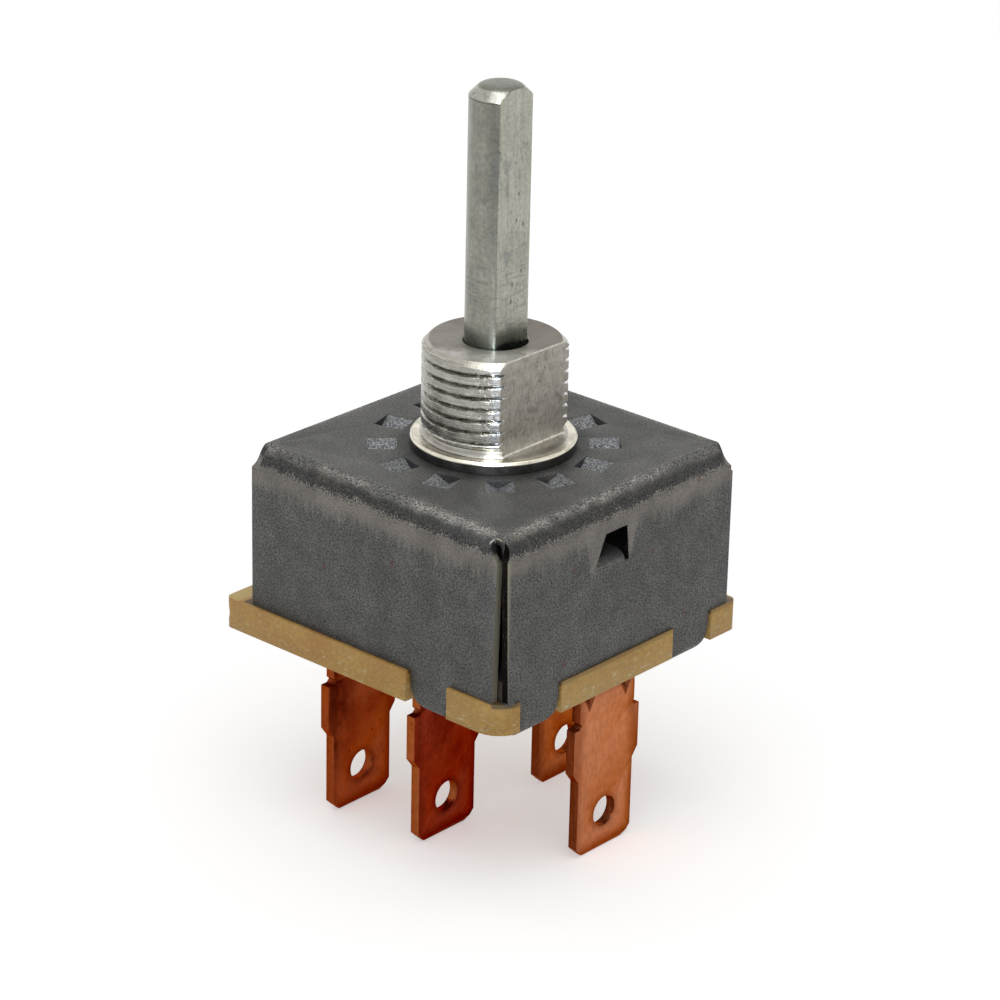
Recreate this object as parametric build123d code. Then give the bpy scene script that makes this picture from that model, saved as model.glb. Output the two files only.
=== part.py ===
"""Rotary blower switch: square sheet-steel can on a moulded base, threaded bushing, D shaft, four blades.

The origin is on the shaft axis at the level of the blade tips, with +Z up along the shaft and
+X towards the side of the can that holds the stop window. All sizes are in millimetres.
"""
from build123d import *
from math import atan2, cos, degrees, pi, radians, sin
import os

os.makedirs("parts", exist_ok=True)

# How far a cutter runs past what it cuts
spare = 1.0

# Height stack, from the blade tips up
blade_drop = 14.3
rim_thick = 2.5
plateau_rise = 1.6
can_height = 13.2
flange_thick = 0.93
bushing_rise = 7.53
shaft_rise = 20.0

# Sheet-steel can
can_width = 26.6
sheet = 0.6
top_bend = 1.5
seam_closed_in = 0.7
seam_open_in = (1.2, 0.95)
seam_lap_in = (0.5, 0.15)
seam_lap_crown = 0.45
relief_radius = 1.5
relief_in = 0.2
relief_drop = 0.7
crimp_bend = 1.0
crimp_lip = 2.1
crimp_width = 4.3
crimp_narrow = 3.8
crimp_round = 2.2
crimp_near_in = 7.35
crimp_far_in = 4.0
crimp_mid_in = 5.05

# Detent pockets pressed into the top
detent_count = 12
pocket_set_in = 4.8
pocket_length = 2.4
pocket_width = 2.4
pocket_depth = 0.7
pocket_skirt = 0.35

# Stop tab lanced from the wall and folded inwards
window_bottom = 7.55
window_height = 2.9
window_root_low = -3.6
window_root_high = 0.45
window_tip_low = -2.25
window_tip_high = 0.13
stop_bend = 0.85
stop_fold = 85.0
stop_gap = 0.3
stop_draw = 0.75

# Moulded base
rim_side = 0.4
rim_near = 0.15
rim_far = 1.85
rim_corner = 0.6
rim_front_corner = 2.3
scoop_radius = 1.1
scoop_depth = 0.4
scoop_rise = 1.25
plateau_clear = 0.1
notch_clear = 0.15
pivot_floor = 1.4

# Bushing
thread_radius = 11.1125 / 2
bushing_flat = 4.02
flange_radius = 6.4
flange_bevel = 0.18
spigot_radius = 4.6
spigot_clear = 0.03
collar_radius = 5.6
collar_thick = 0.8
bushing_chamfer = 0.45
bore_chamfer = 0.15

# Shaft
shaft_radius = 4.7625 / 2
shaft_flat = 1.58
shaft_clear = 0.05
shaft_chamfer = 0.9
shaft_crown = 0.3
pivot_radius = 1.5
pivot_depth = 1.3
pivot_shoulder = 0.8
ring_groove_radius = 1.75

# Washer and retaining ring under the bushing
stack_gap = 0.05
washer_thick = 0.4
washer_radius = 3.9
ring_thick = 0.6
ring_radius = 3.7
ring_mouth = 2.6
ring_hook = 1.0
ring_fit = 0.05

# Rotor moulding that carries the balls and drives the contactor
rotor_wall = 0.4
rotor_top_gap = 0.6
rotor_height = 5.6
rotor_hub_radius = 3.5
rotor_hub_gap = 1.05
rotor_fit = 0.02
rotor_recess_radius = 4.4
rotor_recess_gap = 0.45
rotor_rim_gap = 0.8
rotor_rim_drop = 1.1
rotor_rim_height = 3.4
spring_well_radius = 5.0
spring_well_depth = 2.6
peg_radius = 0.8
peg_circle = 5.9
peg_angles = (-40, 140)
peg_reach = 0.25

# Detent balls and springs, each coil drawn with a number of straight steps per turn
coil_steps = 12
ball_radius = 1.3
ball_clear = 0.1
ball_travel_gap = 0.1
ball_angles = (0, 180)
ball_well_floor = 1.2
detent_wire = 0.35
detent_turns = 3

# Contactor and its spring
contact_gap = 0.05
contactor_thick = 0.6
contactor_inner = 3.9
contactor_outer = 6.9
dimple_height = 0.4
dimple_radius = 0.7
dimple_land = 1.5
track_width = 0.6
contact_wire = 0.5
contact_coil_radius = 4.35
contact_turns = 3
position_step = 30.0
position_count = 4

# Copper blades, each with a shoulder, a folded foot and one rivet
blade_width = 6.3
blade_thick = 0.81
shoulder_extra = 0.6
shoulder_top = 3.2
shoulder_length = 4.5
shoulder_relief = 0.5
shoulder_taper = 0.8
tip_chamfer = 0.85
tip_bevel = 0.22
blade_hole_radius = 1.25
blade_hole_rise = 3.1
foot_bend = 1.2
foot_rivet = 4.6
foot_end_radius = 2.3
dart_offset = 2.1
dart_reach = 1.5
dart_half_width = 0.85
rivet_radius = 0.9
rivet_hole_clear = 0.03
rivet_head_radius = 1.1
rivet_head_thick = 0.6
rivet_tail_radius = 1.6
rivet_tail_thick = 0.55

# Places of the blades: faces set in from a wall or off the middle, and middles along Y
front_set_in = 1.0
front_shift = -0.2
near_face = 1.17
near_set_in = 6.5
far_set_in = 6.13
far_side_set_in = 5.75
right_face = 1.4
right_set_in = 6.4
feed_blade = "front"
speed_blades = ("left_far", "left_near", "right")

# Heights worked out from the stack
base_under = blade_drop
rim_top = base_under + rim_thick
plateau_top = rim_top + plateau_rise
can_top = rim_top + can_height
can_inside = can_top - sheet
flange_top = can_top + flange_thick
bushing_top = flange_top + bushing_rise
shaft_top = bushing_top + shaft_rise
collar_bottom = can_inside - collar_thick
ridge_bottom = can_inside - pocket_depth
washer_top = collar_bottom - stack_gap
ring_top = washer_top - washer_thick - stack_gap
ring_bottom = ring_top - ring_thick
rotor_top = ridge_bottom - rotor_top_gap
rotor_bottom = rotor_top - rotor_height
ball_height = ridge_bottom - ball_travel_gap - ball_radius
head_top = plateau_top + rivet_head_thick
contactor_bottom = head_top + contact_gap + dimple_height
contactor_top = contactor_bottom + contactor_thick
half = can_width / 2
step_angle = 360.0 / detent_count
ball_circle = half - pocket_set_in
pocket_inner = ball_circle - pocket_length / 2
rotor_radius = ball_circle + ball_radius + rotor_wall
rotor_rim_radius = half - sheet - rotor_rim_gap
crimp_near = half - crimp_near_in
crimp_far = half - crimp_far_in
crimp_mid = half - crimp_mid_in

# Each blade's outer face along X, its middle along Y, and which way its foot points
blades = {
    "front": (half - front_set_in, front_shift, -1),
    "left_near": (near_face, near_set_in - half, 1),
    "left_far": (far_set_in - half, far_side_set_in - half, 1),
    "right": (right_face, half - right_set_in, 1),
}


def cylinder(radius, low, high, x=0.0, y=0.0):
    """Upright cylinder between two heights."""
    return Pos(x, y, (low + high) / 2) * Cylinder(radius, high - low)


def block(size_x, size_y, low, high, x=0.0, y=0.0):
    """Upright box between two heights."""
    return Pos(x, y, (low + high) / 2) * Box(size_x, size_y, high - low)


def sheet_section(points):
    """Closed face in the XZ plane from a list of edges, ready to be extruded along Y."""
    return Plane.XZ * make_face(points)


def shaft_profile(clear):
    """Section of the D shaft, grown all round by a clearance."""
    grown = shaft_radius + clear
    flat = shaft_flat + clear
    disc = Circle(grown)
    return disc - Pos(flat + grown, 0) * Rectangle(2 * grown, 4 * grown)


def coil(mean_radius, wire, turns, low, high):
    """Compression spring between two heights, as short straight lengths of a six-sided wire."""
    rise = high - low - wire
    count = coil_steps * turns
    points = []
    for index in range(count + 1):
        angle = 2 * pi * index / coil_steps
        x = mean_radius * cos(angle)
        y = mean_radius * sin(angle)
        points.append((x, y, low + wire / 2 + rise * index / count))
    path = Polyline(*points)
    section = Plane(origin=path @ 0, z_dir=path % 0) * RegularPolygon(wire / 2, 6)
    return sweep(section, path=path, transition=Transition.RIGHT)


def can_wall(start_in, end_in, lapped):
    """A wall of the can with its bend, on the +X side, set in at its foot and at its bend from each corner.

    Each end has the relief notch of its corner, but a lapped start runs over the corner without one.
    """
    edge_in = half - sheet
    centre = (half - top_bend, can_top - top_bend)
    outer = CenterArc(centre, top_bend, 0, 90)
    inner = CenterArc(centre, top_bend - sheet, 0, 90)
    section = sheet_section([
        Line((half, rim_top), (half, can_top - top_bend)),
        outer,
        Line((half - top_bend, can_top), (half - top_bend, can_inside)),
        inner,
        Line((edge_in, can_top - top_bend), (edge_in, rim_top)),
        Line((edge_in, rim_top), (half, rim_top)),
    ])
    wall = extrude(section, amount=can_width, both=True)
    start_low, start_high = (half - set_in for set_in in start_in)
    end_low, end_high = (half - set_in for set_in in end_in)
    crown = half - seam_lap_crown if lapped else start_high
    outline = Plane.YZ * Polygon(
        (-start_low, rim_top),
        (end_low, rim_top),
        (end_high, can_top - top_bend),
        (end_high, can_top),
        (-crown, can_top),
        (-crown, can_top - top_bend / 2),
        (-start_high, can_top - top_bend),
        align=None,
    )
    wall &= extrude(outline, amount=can_width, dir=(1, 0, 0))
    relief = Rot(0, 90, 0) * Cylinder(relief_radius, 2 * can_width)
    wall -= Pos(0, half - relief_in, can_top - relief_drop) * relief
    return wall if lapped else wall - Pos(0, relief_in - half, can_top - relief_drop) * relief


def crimp_tab(middle, width, rounded):
    """Tab that runs down from the +X wall through a notch of the base and folds under it."""
    centre = (half - crimp_bend, base_under - sheet + crimp_bend)
    section = sheet_section([
        Line((half, rim_top), (half, centre[1])),
        CenterArc(centre, crimp_bend, -90, 90),
        Line((centre[0], base_under - sheet), (half - crimp_lip, base_under - sheet)),
        Line((half - crimp_lip, base_under - sheet), (half - crimp_lip, base_under)),
        Line((half - crimp_lip, base_under), (centre[0], base_under)),
        CenterArc(centre, crimp_bend - sheet, -90, 90),
        Line((half - sheet, centre[1]), (half - sheet, rim_top)),
        Line((half - sheet, rim_top), (half, rim_top)),
    ])
    tab = extrude(section, amount=width / 2, both=True)
    low = base_under - sheet
    outline = Pos(0, (low + rim_top) / 2) * Rectangle(width, rim_top - low)
    corner = outline.vertices().sort_by(Axis.Y)[:2].sort_by(Axis.X)[max(rounded, 0)]
    outline = Plane.YZ * fillet(corner, crimp_round)
    return Pos(0, middle, 0) * (tab & extrude(outline, amount=can_width, dir=(1, 0, 0)))


def crimp_layout():
    """Every crimp tab as a turn about Z, a middle and a width along its wall, and its rounded side."""
    places = []
    for turn in (0, 180):
        places.append((turn, -crimp_far, crimp_width, 1))
        places.append((turn, crimp_mid, crimp_width, 1))
        places.append((turn - 90, crimp_near, crimp_narrow, -1))
    return places


def stop_outline():
    """Outline of the lanced window on the +X wall, in the YZ plane."""
    low = rim_top + window_bottom
    high = low + window_height
    return Plane.YZ * Polygon(
        (window_root_low, low),
        (window_root_high, low),
        (window_tip_high, high),
        (window_tip_low, high),
        align=None,
    )


def stop_tab():
    """The tongue cut from the window, hinged at its lower edge and folded inwards."""
    low = rim_top + window_bottom
    centre = (half - stop_bend, low)
    straight = window_height - stop_bend * radians(stop_fold) * stop_draw
    fold = radians(stop_fold)
    along = (-sin(fold), cos(fold))
    outer_end = (centre[0] + stop_bend * cos(fold), centre[1] + stop_bend * sin(fold))
    inner = stop_bend - sheet
    inner_end = (centre[0] + inner * cos(fold), centre[1] + inner * sin(fold))
    outer_tip = (outer_end[0] + straight * along[0], outer_end[1] + straight * along[1])
    inner_tip = (inner_end[0] + straight * along[0], inner_end[1] + straight * along[1])
    section = sheet_section([
        CenterArc(centre, stop_bend, 0, stop_fold),
        Line(outer_end, outer_tip),
        Line(outer_tip, inner_tip),
        Line(inner_tip, inner_end),
        CenterArc(centre, inner, 0, stop_fold),
        Line((half - sheet, low), (half, low)),
    ])
    tongue = extrude(section, amount=can_width / 2, dir=(0, -1, 0))
    tip_x = half - window_height
    plan = Plane.XY * Polygon(
        (half + spare, window_root_low),
        (half + spare, window_root_high),
        (half, window_root_high),
        (tip_x, window_tip_high),
        (tip_x - spare, window_tip_high),
        (tip_x - spare, window_tip_low),
        (tip_x, window_tip_low),
        (half, window_root_low),
        align=None,
    )
    return tongue & extrude(plan, amount=can_top, dir=(0, 0, 1))


def pocket_prism(width, length, shift):
    """Triangular prism of one detent pocket, on the +X side, lowered by a shift."""
    level = can_top - shift
    start = pocket_inner + pocket_length / 2 - length / 2
    side = width / 2
    outline = Plane.YZ * Polygon((-side, level), (side, level), (0, level - pocket_depth), align=None)
    return Pos(start, 0, 0) * extrude(outline, amount=length, dir=(1, 0, 0))


def can():
    """Folded sheet-steel can with pockets, corner seams, stop tab and crimp tabs."""
    flat = 2 * (half - top_bend)
    body = block(flat, flat, can_inside, can_top)
    closed = (seam_closed_in, seam_closed_in)
    body += can_wall(seam_lap_in, closed, lapped=True)
    body += Rot(0, 0, 90) * can_wall(closed, closed, lapped=False)
    body += Rot(0, 0, 180) * can_wall(closed, closed, lapped=False)
    body += Rot(0, 0, 270) * can_wall(closed, seam_open_in, lapped=False)
    for turn, middle, width, rounded in crimp_layout():
        body += Rot(0, 0, turn) * crimp_tab(middle, width, rounded)
    body -= Pos(rotor_rim_radius, 0, 0) * extrude(stop_outline(), amount=can_width, dir=(1, 0, 0))
    body += stop_tab()
    ridge_width = pocket_width + 2 * pocket_skirt
    ridge_length = pocket_length + 2 * pocket_skirt
    for index in range(detent_count):
        turn = Rot(0, 0, step_angle * (index + 0.5))
        body += turn * pocket_prism(ridge_width, ridge_length, sheet)
    for index in range(detent_count):
        turn = Rot(0, 0, step_angle * (index + 0.5))
        body -= turn * pocket_prism(pocket_width, pocket_length, 0)
    return body - cylinder(spigot_radius + spigot_clear, can_inside - spare, can_top + spare)


def rivet_place(name):
    """Centre of a blade's rivet in plan."""
    face, middle, points = blades[name]
    return face + points * (blade_thick / 2 + foot_rivet), middle


def front_order(corner):
    """How far a corner lies towards +X and -Y."""
    return corner.X - corner.Y


def base():
    """Moulded base: notched rim under the walls, plateau inside them, rivet and pivot holes."""
    length = can_width + rim_near + rim_far
    width = can_width + 2 * rim_side
    outline = Pos((rim_near - rim_far) / 2, 0) * Rectangle(length, width)
    outline = fillet(outline.vertices().sort_by(front_order)[:3], rim_corner)
    outline = fillet(outline.vertices().sort_by(front_order)[-1], rim_front_corner)
    body = extrude(Pos(0, 0, base_under) * outline, amount=rim_thick)
    scoop = Rot(90, 0, 0) * Cylinder(scoop_radius, 2 * can_width)
    body -= Pos(scoop_depth - scoop_radius - half - rim_far, 0, base_under + scoop_rise) * scoop
    inside = can_width - 2 * (sheet + plateau_clear)
    body += block(inside, inside, rim_top, plateau_top)
    depth = rim_far + crimp_bend
    notch_x = half - crimp_bend + depth / 2
    for turn, middle, tab_width, _ in crimp_layout():
        notch_width = tab_width + 2 * notch_clear
        body -= Rot(0, 0, turn) * block(depth, notch_width, base_under, rim_top, notch_x, middle)
    for name in blades:
        x, y = rivet_place(name)
        body -= cylinder(rivet_radius + rivet_hole_clear, base_under, plateau_top, x, y)
    return body - cylinder(pivot_radius + shaft_clear, base_under + pivot_floor, plateau_top)


def bushing():
    """Flanged bushing with one flat, set in the can's top and swaged over below it."""
    barrel = cylinder(thread_radius, flange_top, bushing_top)
    barrel = chamfer(barrel.edges().sort_by(Axis.Z)[-1], bushing_chamfer)
    barrel -= block(thread_radius, can_width, flange_top, bushing_top, bushing_flat + thread_radius / 2)
    flange = cylinder(flange_radius, can_top, flange_top)
    body = barrel + chamfer(flange.edges().sort_by(Axis.Z)[-1], flange_bevel)
    body += cylinder(spigot_radius, can_inside, can_top)
    body += cylinder(collar_radius, collar_bottom, can_inside)
    body -= cylinder(shaft_radius + shaft_clear, collar_bottom, bushing_top)
    mouth = shaft_radius + shaft_clear
    flare = Pos(0, 0, bushing_top - bore_chamfer / 2) * Cone(mouth, mouth + bore_chamfer, bore_chamfer)
    return body - flare


def shaft():
    """D shaft with its pivot in the base, a ring groove and a chamfered knob end."""
    shoulder = plateau_top + pivot_shoulder
    body = extrude(Pos(0, 0, shoulder) * shaft_profile(0), amount=shaft_top - shoulder)
    envelope = cylinder(shaft_radius, shoulder, shaft_top)
    envelope = chamfer(envelope.edges().sort_by(Axis.Z)[-1], shaft_chamfer)
    envelope = fillet(envelope.edges().sort_by(Axis.Z)[-1], shaft_crown)
    body = body & envelope
    body += cylinder(pivot_radius, plateau_top - pivot_depth, shoulder)
    groove = cylinder(2 * shaft_radius, ring_bottom, ring_top)
    groove -= cylinder(ring_groove_radius, ring_bottom, ring_top)
    return body - groove


def thrust_washer():
    """Plain washer that turns under the bushing."""
    bottom = washer_top - washer_thick
    body = cylinder(washer_radius, bottom, washer_top)
    return body - cylinder(shaft_radius + shaft_clear, bottom, washer_top)


def retaining_ring():
    """Open ring that snaps into the shaft's groove from the -X side."""
    low = ring_bottom + ring_fit / 2
    high = ring_top - ring_fit / 2
    seat = ring_groove_radius + ring_fit
    body = cylinder(ring_radius, low, high) - cylinder(seat, low, high)
    return body - block(ring_radius, ring_mouth, low, high, -seat - ring_radius / 2 + ring_hook)


def stop_angles():
    """Angles of the stop tab's two sides, seen from the shaft axis."""
    reach = half - sheet
    share = (reach - (half - window_height)) / window_height
    low = window_root_low + (window_tip_low - window_root_low) * (1 - share)
    high = window_tip_high
    gap = degrees(stop_gap / reach)
    return degrees(atan2(low, reach)) - gap, degrees(atan2(high, reach)) + gap


def sector(radius, low, high, start, span):
    """Pie-shaped solid between two heights."""
    return Rot(0, 0, start) * (Pos(0, 0, low) * Cylinder(radius, high - low, arc_size=span, align=None))


def rotor():
    """Moulded rotor: disc with ball wells, stop rim with a gap, hub, spring well and two pegs."""
    body = cylinder(rotor_radius, rotor_bottom, rotor_top)
    rim_high = rotor_top - rotor_rim_drop
    rim_low = rim_high - rotor_rim_height
    first, last = stop_angles()
    travel = position_step * (position_count - 1)
    rim = cylinder(rotor_rim_radius, rim_low, rim_high)
    rim -= sector(2 * rotor_rim_radius, rim_low, rim_high, first, last - first + travel)
    body += rim
    body -= cylinder(spring_well_radius, rotor_bottom, rotor_bottom + spring_well_depth)
    body += cylinder(rotor_hub_radius, contactor_top + rotor_hub_gap, rotor_bottom + spring_well_depth)
    body -= cylinder(rotor_recess_radius, ring_bottom - rotor_recess_gap, rotor_top)
    for angle in ball_angles:
        x = ball_circle * cos(radians(angle))
        y = ball_circle * sin(radians(angle))
        body -= cylinder(ball_radius + ball_clear, rotor_bottom + ball_well_floor, rotor_top, x, y)
    for angle in peg_angles:
        x = peg_circle * cos(radians(angle))
        y = peg_circle * sin(radians(angle))
        body += cylinder(peg_radius, contactor_bottom + peg_reach, rotor_bottom, x, y)
    bore = extrude(Pos(0, 0, contactor_top) * shaft_profile(rotor_fit), amount=rotor_height + can_height)
    return body - bore


def ball(angle):
    """Detent ball in its well."""
    x = ball_circle * cos(radians(angle))
    y = ball_circle * sin(radians(angle))
    return Pos(x, y, ball_height) * Sphere(ball_radius)


def detent_spring(angle):
    """Spring under a detent ball."""
    x = ball_circle * cos(radians(angle))
    y = ball_circle * sin(radians(angle))
    low = rotor_bottom + ball_well_floor
    mean = ball_radius - detent_wire
    return Pos(x, y, 0) * coil(mean, detent_wire, detent_turns, low, ball_height - ball_radius * 0.75)


def rotor_place(name, position):
    """Where a fixed contact lies on the rotor, as radius and angle, when the rotor is at a position."""
    x, y = rivet_place(name)
    return (x * x + y * y) ** 0.5, degrees(atan2(y, x)) + position_step * position


def contactor():
    """Copper bridge: a ring with a track for the feed contact and one dimpled arm for each speed."""
    feed_radius, feed_angle = rotor_place(feed_blade, 0)
    body = cylinder(contactor_outer, contactor_bottom, contactor_top)
    start = feed_angle + position_step / 2
    edge = feed_radius + track_width
    span = position_step * (position_count - 1)
    body += sector(edge, contactor_bottom, contactor_top, start, span)
    low = contactor_bottom - dimple_height
    track = sector(feed_radius + track_width / 2, low, contactor_bottom, start, span)
    body += track - cylinder(feed_radius - track_width / 2, low, contactor_bottom)
    for position, name in enumerate(speed_blades, start=1):
        radius, angle = rotor_place(name, position)
        arm = block(radius, 2 * dimple_land, contactor_bottom, contactor_top, radius / 2)
        arm += cylinder(dimple_land, contactor_bottom, contactor_top, radius)
        arm += cylinder(dimple_radius, low, contactor_bottom, radius)
        body += Rot(0, 0, angle) * arm
    body -= cylinder(contactor_inner, low, contactor_top)
    for angle in peg_angles:
        x = peg_circle * cos(radians(angle))
        y = peg_circle * sin(radians(angle))
        body -= cylinder(peg_radius + ball_clear, low, contactor_top, x, y)
    return body


def blade_outline():
    """Front view of a blade: neck, shoulders, tab and chamfered tip, with its upper end at the bend."""
    side = blade_width / 2
    wide = side + shoulder_extra
    top = base_under - foot_bend
    shoulder_high = base_under - shoulder_top
    shoulder_low = shoulder_high - shoulder_length
    right = [
        (side, top),
        (side, shoulder_high + shoulder_relief),
        (side - shoulder_relief / 2, shoulder_high + shoulder_relief / 2),
        (side, shoulder_high),
        (wide, shoulder_high),
        (wide, shoulder_low + shoulder_taper),
        (side, shoulder_low),
        (side, tip_chamfer),
        (side - tip_chamfer, 0),
    ]
    left = [(-y, z) for y, z in reversed(right)]
    hole = Pos(0, blade_hole_rise) * Circle(blade_hole_radius)
    return Polygon(*right, *left, align=None) - hole


def dart_prism(depth):
    """V-shaped prism across the fold at 45 degrees, with its valley at a depth below the corner."""
    middle = (blade_thick / 2 - depth / 2, 0, base_under - depth / 2)
    across = Plane(origin=middle, x_dir=(0, 1, 0), z_dir=(-1, 0, 1))
    rise = dart_reach
    wedge = Polygon((0, 0), (-dart_half_width, -rise / 2), (dart_half_width, -rise / 2), align=None)
    return extrude(across * wedge, amount=dart_reach, both=True)


def terminal(name):
    """Copper blade with a foot folded under the base and two stiffening darts in the fold."""
    face, middle, points = blades[name]
    outer = blade_thick / 2
    centre = (outer - foot_bend, base_under - foot_bend)
    blade = extrude(Plane.YZ * blade_outline(), amount=blade_thick / 2, both=True)
    tip_edges = blade.edges().filter_by(Axis.Y).group_by(Axis.Z)[0]
    blade = chamfer(tip_edges, tip_bevel, 2 * tip_bevel)
    fold_face = sheet_section([
        CenterArc(centre, foot_bend, 0, 90),
        Line((centre[0], base_under), (centre[0], base_under - blade_thick)),
        CenterArc(centre, foot_bend - blade_thick, 0, 90),
        Line((outer - blade_thick, centre[1]), (outer, centre[1])),
    ])
    fold = extrude(fold_face, amount=blade_width / 2, both=True)
    foot_start = Pos(centre[0], 0) * Rectangle(0.02, blade_width)
    foot_end = Pos(-foot_rivet, 0) * Circle(foot_end_radius)
    foot_face = make_hull((foot_start + foot_end).edges())
    foot = extrude(Pos(0, 0, base_under - blade_thick) * foot_face, amount=blade_thick)
    foot -= cylinder(rivet_radius + rivet_hole_clear, 0, base_under, -foot_rivet)
    body = blade + fold + foot
    for offset in (-dart_offset, dart_offset):
        body -= Pos(0, offset, 0) * dart_prism(dart_reach)
    turned = body if points < 0 else Rot(0, 0, 180) * body
    return Pos(face + points * blade_thick / 2, middle, 0) * turned


def rivet(name):
    """Rivet of one blade: its upper head is the fixed contact, its tail holds the foot."""
    x, y = rivet_place(name)
    foot_low = base_under - blade_thick
    body = cylinder(rivet_radius, foot_low, plateau_top, x, y)
    body += cylinder(rivet_head_radius, plateau_top, head_top, x, y)
    tail = cylinder(rivet_tail_radius, foot_low - rivet_tail_thick, foot_low, x, y)
    tail = chamfer(tail.edges().sort_by(Axis.Z)[0], rivet_tail_thick / 2)
    return body + tail


def contact_spring():
    """Spring that presses the contactor down on the fixed contacts."""
    ceiling = rotor_bottom + spring_well_depth
    return coil(contact_coil_radius, contact_wire, contact_turns, contactor_top, ceiling)


pieces = {
    "housing": can(),
    "base": base(),
    "bushing": bushing(),
    "shaft": shaft(),
    "thrust_washer": thrust_washer(),
    "retaining_ring": retaining_ring(),
    "rotor": rotor(),
    "contactor": contactor(),
    "contact_spring": contact_spring(),
}
for number, angle in enumerate(ball_angles, start=1):
    pieces[f"detent_ball_{number}"] = ball(angle)
    pieces[f"detent_spring_{number}"] = detent_spring(angle)
for name in blades:
    pieces[f"terminal_{name}"] = terminal(name)
    pieces[f"rivet_{name}"] = rivet(name)

for node, solid in pieces.items():
    export_step(solid, f"parts/{node}.step")
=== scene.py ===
"""Looks of a rotary blower switch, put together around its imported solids.

Sizes are written in millimetres and reach Blender in metres.
"""
from math import cos, pi, radians, sin

import bmesh
import bpy
import numpy as np
from mathutils import Matrix, Vector


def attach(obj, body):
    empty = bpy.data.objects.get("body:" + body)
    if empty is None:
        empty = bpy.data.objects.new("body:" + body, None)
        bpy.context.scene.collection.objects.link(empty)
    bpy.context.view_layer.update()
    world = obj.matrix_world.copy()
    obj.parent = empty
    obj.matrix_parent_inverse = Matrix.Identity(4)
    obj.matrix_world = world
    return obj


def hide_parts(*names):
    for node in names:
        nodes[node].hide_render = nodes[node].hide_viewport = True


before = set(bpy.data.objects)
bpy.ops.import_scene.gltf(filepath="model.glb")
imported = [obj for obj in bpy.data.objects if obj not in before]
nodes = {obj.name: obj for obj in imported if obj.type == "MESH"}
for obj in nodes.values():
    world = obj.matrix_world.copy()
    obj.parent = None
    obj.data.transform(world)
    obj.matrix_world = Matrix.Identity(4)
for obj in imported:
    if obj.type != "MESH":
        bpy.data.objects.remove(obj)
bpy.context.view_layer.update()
mm = 0.001


# Can: one blank of 0.6 mm sheet steel, folded down on four sides and left with a dull grey
# phosphate skin. Its walls meet in open seams, and its lower tabs are crimped under the base.
weld_gap = 0.002 * mm
flat_angle = radians(0.4)
sharp_angle = radians(30)


def welded_copy(node, name):
    """The solid of a node as one shell: corners merged, flat faces joined, large ones cut up."""
    mesh = nodes[node].data.copy()
    mesh.name = name
    shell = bmesh.new()
    shell.from_mesh(mesh)
    bmesh.ops.remove_doubles(shell, verts=shell.verts, dist=weld_gap)
    bmesh.ops.dissolve_limit(shell, angle_limit=flat_angle, verts=shell.verts, edges=shell.edges)
    bmesh.ops.triangulate(shell, faces=[face for face in shell.faces if len(face.verts) > 4])
    shell.to_mesh(mesh)
    shell.free()
    mesh.materials.clear()
    piece = bpy.data.objects.new(name, mesh)
    bpy.context.collection.objects.link(piece)
    return piece


def soften(piece, width):
    """Rounds every sharp edge by a width and shades the rest as smooth faces."""
    piece.data.polygons.foreach_set("use_smooth", [True] * len(piece.data.polygons))
    edge = piece.modifiers.new("rounded_edges", "BEVEL")
    edge.width = width
    edge.segments = 2
    edge.limit_method = "ANGLE"
    edge.angle_limit = sharp_angle
    edge.harden_normals = True
    edge.miter_outer = "MITER_ARC"
    return piece


def add(tree, kind, inputs=None, **settings):
    """One shader node: settings by name, and inputs as values or as another node's output."""
    made = tree.nodes.new(kind)
    for key, value in settings.items():
        setattr(made, key, value)
    for key, value in (inputs or {}).items():
        if isinstance(value, bpy.types.NodeSocket):
            tree.links.new(value, made.inputs[key])
        else:
            made.inputs[key].default_value = value
    return made


def calc(tree, job, *values):
    """The output of one Math node."""
    return add(tree, "ShaderNodeMath", dict(enumerate(values)), operation=job).outputs[0]


def times(tree, *values):
    """The product of two or more values."""
    made = values[0]
    for value in values[1:]:
        made = calc(tree, "MULTIPLY", made, value)
    return made


def largest(tree, *values):
    """The largest of two or more values."""
    made = values[0]
    for value in values[1:]:
        made = calc(tree, "MAXIMUM", made, value)
    return made


def rest_of(tree, mask, share=1.0):
    """What a share of a mask leaves of 1."""
    return calc(tree, "SUBTRACT", 1.0, times(tree, mask, share))


def drift(tree, value, size):
    """A noise made to swing about zero, by half of a size each way."""
    return times(tree, calc(tree, "SUBTRACT", value, 0.5), size)


def rise(tree, value, low, high, bottom=0.0, top=1.0):
    """A value carried smoothly from bottom to top while it goes from low to high."""
    inputs = {"Value": value, "From Min": low, "From Max": high, "To Min": bottom, "To Max": top}
    return add(tree, "ShaderNodeMapRange", inputs, interpolation_type="SMOOTHSTEP").outputs[0]


def fall(tree, value, low, high, top=1.0, bottom=0.0):
    """A value carried smoothly from top down to bottom while it goes from low to high."""
    return rise(tree, value, low, high, top, bottom)


def band(tree, value, enter, leave):
    """1 between two soft limits: the value rises over the first pair and falls over the second."""
    return times(tree, rise(tree, value, *enter), fall(tree, value, *leave))


def ink(red, green, blue):
    """A screen colour of 0 to 255 as the linear colour that shaders use."""
    share = np.array([red, green, blue]) / 255.0
    line = np.where(share <= 0.04045, share / 12.92, ((share + 0.055) / 1.055) ** 2.4)
    return (*[float(value) for value in line], 1.0)


def mixed(tree, share, low, high, job="MIX"):
    """Two colours mixed by a share."""
    made = add(tree, "ShaderNodeMix", {0: share, 6: low, 7: high}, data_type="RGBA", blend_type=job)
    return made.outputs[2]


def painted(tree, colour, mask, tone, share=1.0):
    """A colour covered by a screen tone where a mask is, as far as a share."""
    return mixed(tree, times(tree, mask, share), colour, ink(*tone))


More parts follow.
